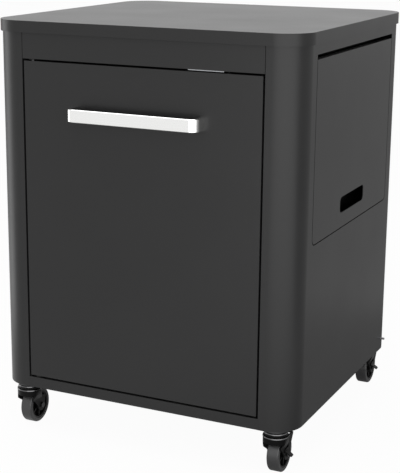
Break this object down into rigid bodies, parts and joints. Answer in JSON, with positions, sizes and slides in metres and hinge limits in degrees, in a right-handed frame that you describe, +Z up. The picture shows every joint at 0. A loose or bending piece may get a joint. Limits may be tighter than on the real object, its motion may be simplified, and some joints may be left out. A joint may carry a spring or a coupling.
{
  "type": "outdoor kitchen work table",
  "caption": "Rolling metal outdoor kitchen cabinet with a flat worktop, a hinged door with a bar handle, a fold-up side shelf and swivel casters.",
  "frame": {"origin": "middle of the bounding box, on the floor under the wheels", "axes": "+X to the side that has the folding shelf, +Y to the rear, +Z up"},
  "size_m": [0.645, 0.644, 0.822],
  "materials": {
    "charcoal_paint": "satin powder coat",
    "grey_paint": "satin powder coat",
    "zinc": "zinc plated",
    "side_screw_steel": "dark zinc",
    "handle_steel": "satin",
    "black_acetal": "matt",
    "rubber": "matt",
    "magnet": "matt",
    "caster_balls": "polished",
    "black_zinc": "black zinc plate",
    "caster_black": "satin black",
    "wheel_core": "matt",
    "tyre": "matt"
  },
  "bodies": {
    "cabinet": {"worktop": "charcoal_paint", "worktop_ribs": "grey_paint", "worktop_screws": "zinc", "top_frame": "charcoal_paint", "side_panel_left": "charcoal_paint", "side_panel_right": "charcoal_paint", "rear_panel": "charcoal_paint", "rear_screws": "zinc", "fascia_rail": "charcoal_paint", "sill_rail": "charcoal_paint", "base_plate": "charcoal_paint", "floor_panel": "grey_paint", "side_screws": "side_screw_steel", "recess_pan": "grey_paint", "shelf_bushes": "black_acetal", "shelf_bumpers": "rubber", "door_bushes": "black_acetal", "door_bumper": "rubber", "catch_bracket": "zinc", "catch_magnet": "magnet", "catch_screws": "zinc", "caster_washers": "zinc", "caster_nuts": "zinc", "caster_balls": "caster_balls", "stem_front_left": "black_zinc", "stem_front_right": "black_zinc", "stem_rear_left": "black_zinc", "stem_rear_right": "black_zinc"},
    "door": {"door_skin": "charcoal_paint", "door_back": "charcoal_paint", "door_channels": "grey_paint", "door_pivot_plates": "zinc", "door_pivot_pins": "black_zinc", "door_handle": "handle_steel", "handle_screws": "zinc", "strike_plate": "zinc"},
    "side_shelf": {"shelf_skin": "charcoal_paint", "shelf_channel": "grey_paint", "shelf_hinge_plates": "zinc", "shelf_pins": "zinc"},
    "caster_front_left": {"fork_front_left": "caster_black", "axle_front_left": "black_zinc"},
    "wheel_front_left": {"hub_front_left": "wheel_core", "tyre_front_left": "tyre"},
    "caster_front_right": {"fork_front_right": "caster_black", "axle_front_right": "black_zinc"},
    "wheel_front_right": {"hub_front_right": "wheel_core", "tyre_front_right": "tyre"},
    "caster_rear_left": {"fork_rear_left": "caster_black", "axle_rear_left": "black_zinc"},
    "wheel_rear_left": {"hub_rear_left": "wheel_core", "tyre_rear_left": "tyre"},
    "caster_rear_right": {"fork_rear_right": "caster_black", "axle_rear_right": "black_zinc"},
    "wheel_rear_right": {"hub_rear_right": "wheel_core", "tyre_rear_right": "tyre"},
    "brake_front_right": {"brake_front_right": "caster_black"},
    "brake_rear_right": {"brake_rear_right": "caster_black"}
  },
  "joints": [
    {"name": "door_hinge", "type": "hinge", "parent": "cabinet", "child": "door", "pos_m": [-0.2285, -0.28, 0.4345], "axis": [0, 0, -1], "range_deg": [0, 110]},
    {"name": "side_shelf_hinge", "type": "hinge", "parent": "cabinet", "child": "side_shelf", "pos_m": [0.3035, 0.006, 0.76], "axis": [0, -1, 0], "range_deg": [0, 90]},
    {"name": "swivel_front_left", "type": "hinge", "parent": "cabinet", "child": "caster_front_left", "pos_m": [-0.2695, -0.255, 0.0817], "axis": [0, 0, 1], "continuous": true},
    {"name": "wheel_spin_front_left", "type": "hinge", "parent": "caster_front_left", "child": "wheel_front_left", "pos_m": [-0.2695, -0.236, 0.036], "axis": [1, 0, 0], "continuous": true},
    {"name": "swivel_front_right", "type": "hinge", "parent": "cabinet", "child": "caster_front_right", "pos_m": [0.2695, -0.255, 0.0817], "axis": [0, 0, 1], "continuous": true},
    {"name": "wheel_spin_front_right", "type": "hinge", "parent": "caster_front_right", "child": "wheel_front_right", "pos_m": [0.2695, -0.236, 0.036], "axis": [1, 0, 0], "continuous": true},
    {"name": "swivel_rear_left", "type": "hinge", "parent": "cabinet", "child": "caster_rear_left", "pos_m": [-0.2695, 0.267, 0.0817], "axis": [0, 0, 1], "continuous": true},
    {"name": "wheel_spin_rear_left", "type": "hinge", "parent": "caster_rear_left", "child": "wheel_rear_left", "pos_m": [-0.2695, 0.286, 0.036], "axis": [1, 0, 0], "continuous": true},
    {"name": "swivel_rear_right", "type": "hinge", "parent": "cabinet", "child": "caster_rear_right", "pos_m": [0.2695, 0.267, 0.0817], "axis": [0, 0, 1], "continuous": true},
    {"name": "wheel_spin_rear_right", "type": "hinge", "parent": "caster_rear_right", "child": "wheel_rear_right", "pos_m": [0.2695, 0.286, 0.036], "axis": [1, 0, 0], "continuous": true},
    {"name": "brake_lever_front_right", "type": "hinge", "parent": "caster_front_right", "child": "brake_front_right", "pos_m": [0.2868, -0.243, 0.046], "axis": [-1, 0, 0], "range_deg": [0, 12]},
    {"name": "brake_lever_rear_right", "type": "hinge", "parent": "caster_rear_right", "child": "brake_rear_right", "pos_m": [0.2868, 0.279, 0.046], "axis": [-1, 0, 0], "range_deg": [0, 12]}
  ]
}
